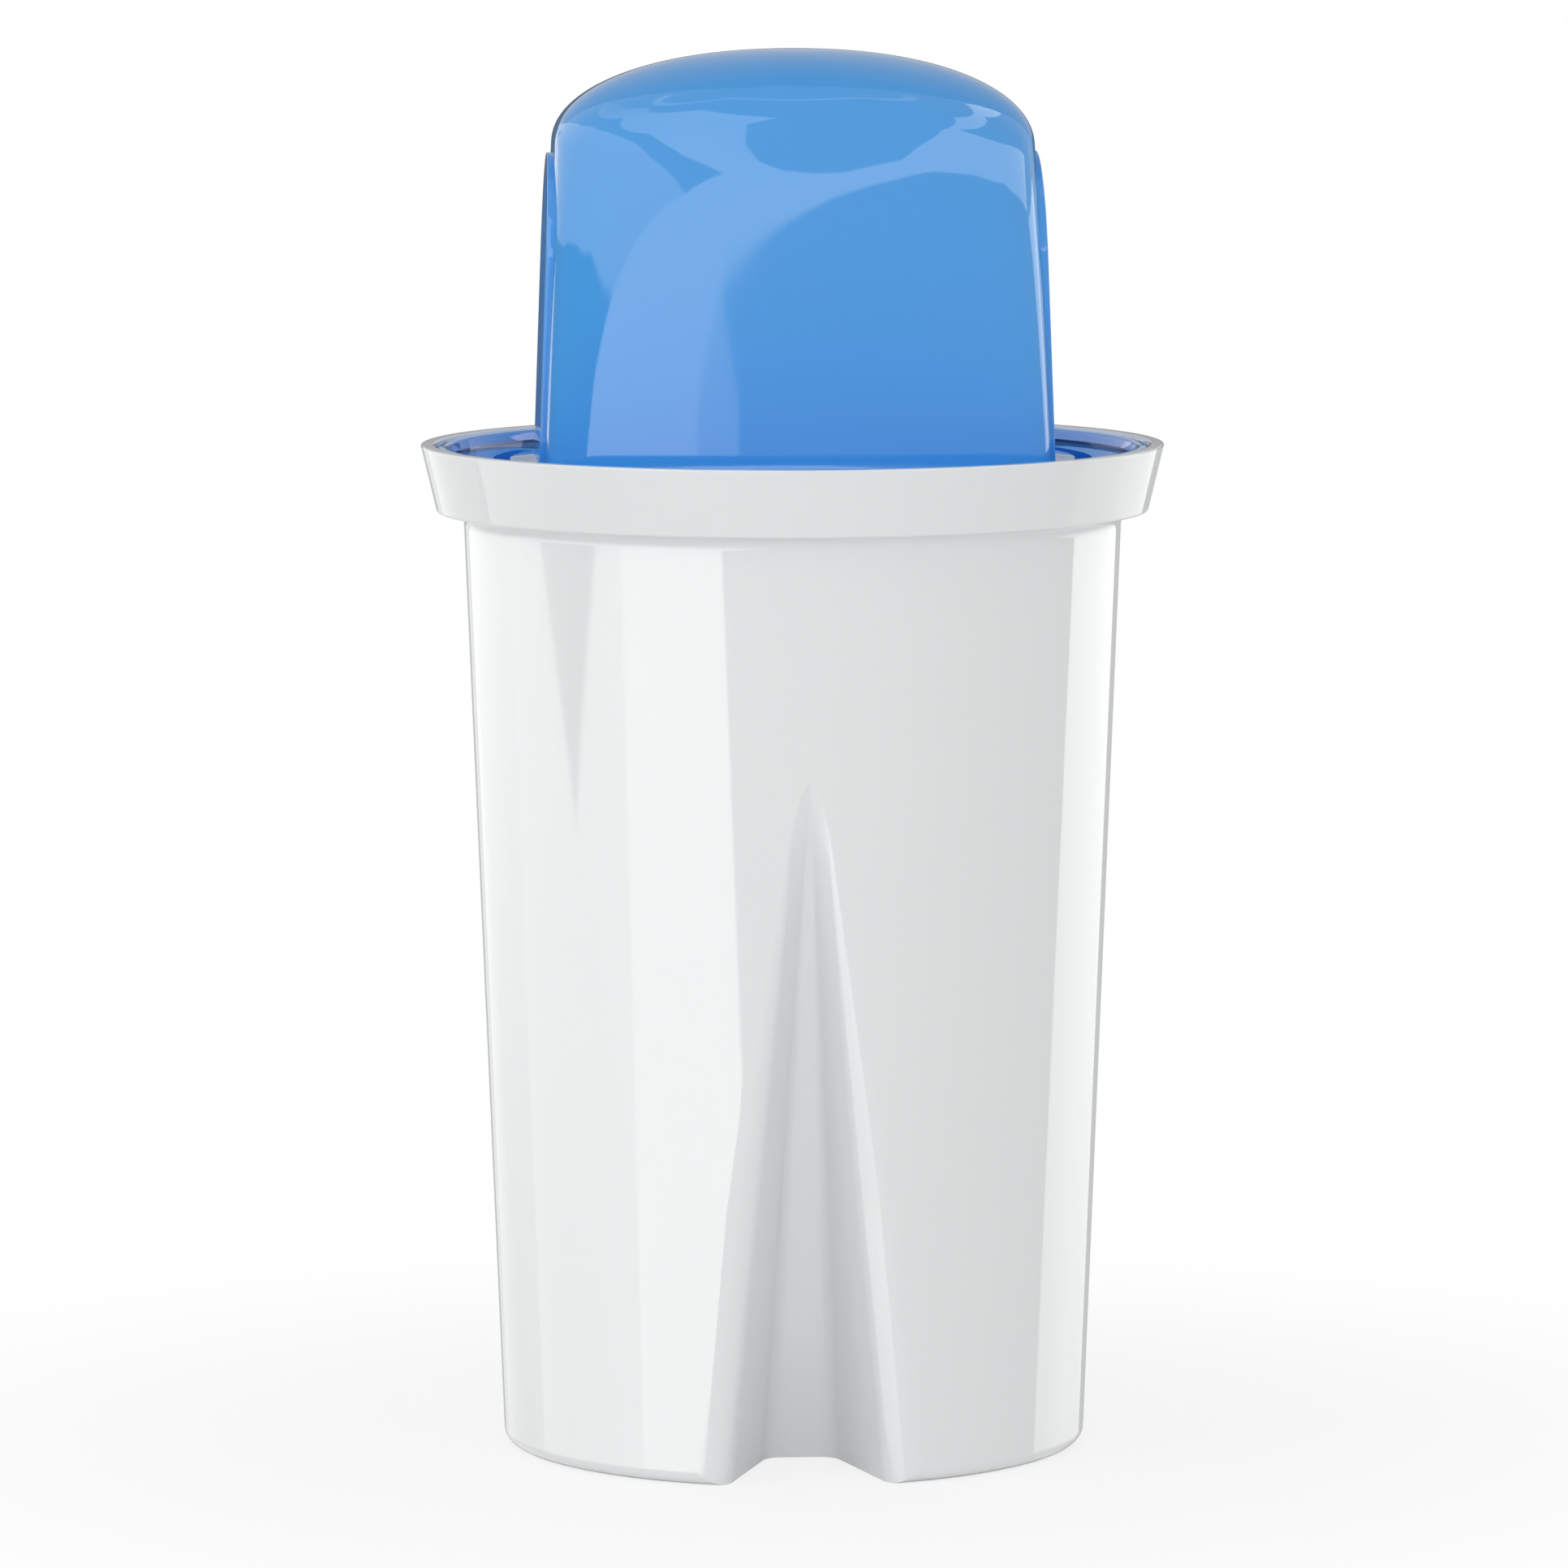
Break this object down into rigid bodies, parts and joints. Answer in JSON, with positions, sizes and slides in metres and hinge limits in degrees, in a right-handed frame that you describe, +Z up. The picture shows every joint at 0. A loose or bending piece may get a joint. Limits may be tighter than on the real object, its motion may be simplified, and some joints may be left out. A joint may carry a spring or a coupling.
{
  "type": "water pitcher filter cartridge",
  "caption": "Pitcher filter cartridge: tapered white cup with a flared collar and a V-shaped key groove, closed by a blue cap with a tall loaf-shaped dome, over beds of carbon and resin.",
  "frame": {"origin": "centre of the standing ring, on the surface that the cartridge stands on", "axes": "+Z up along the axis of the cup, -Y towards the key groove, X along the length of the dome"},
  "size_m": [0.0699, 0.07, 0.1319],
  "materials": {
    "cup_plastic": "glossy white moulded polypropylene",
    "cap_plastic": "glossy blue moulded polypropylene",
    "screen": "fine woven white mesh",
    "felt": "white needled felt",
    "carbon": "black activated carbon granules",
    "resin": "amber ion exchange beads"
  },
  "bodies": {
    "root": {"cup": "cup_plastic", "cap": "cap_plastic", "inlet_screen_left": "screen", "inlet_screen_right": "screen", "upper_pad": "felt", "carbon_bed": "carbon", "middle_pad": "felt", "resin_bed": "resin", "lower_pad": "felt", "outlet_screen": "screen"}
  },
  "joints": []
}
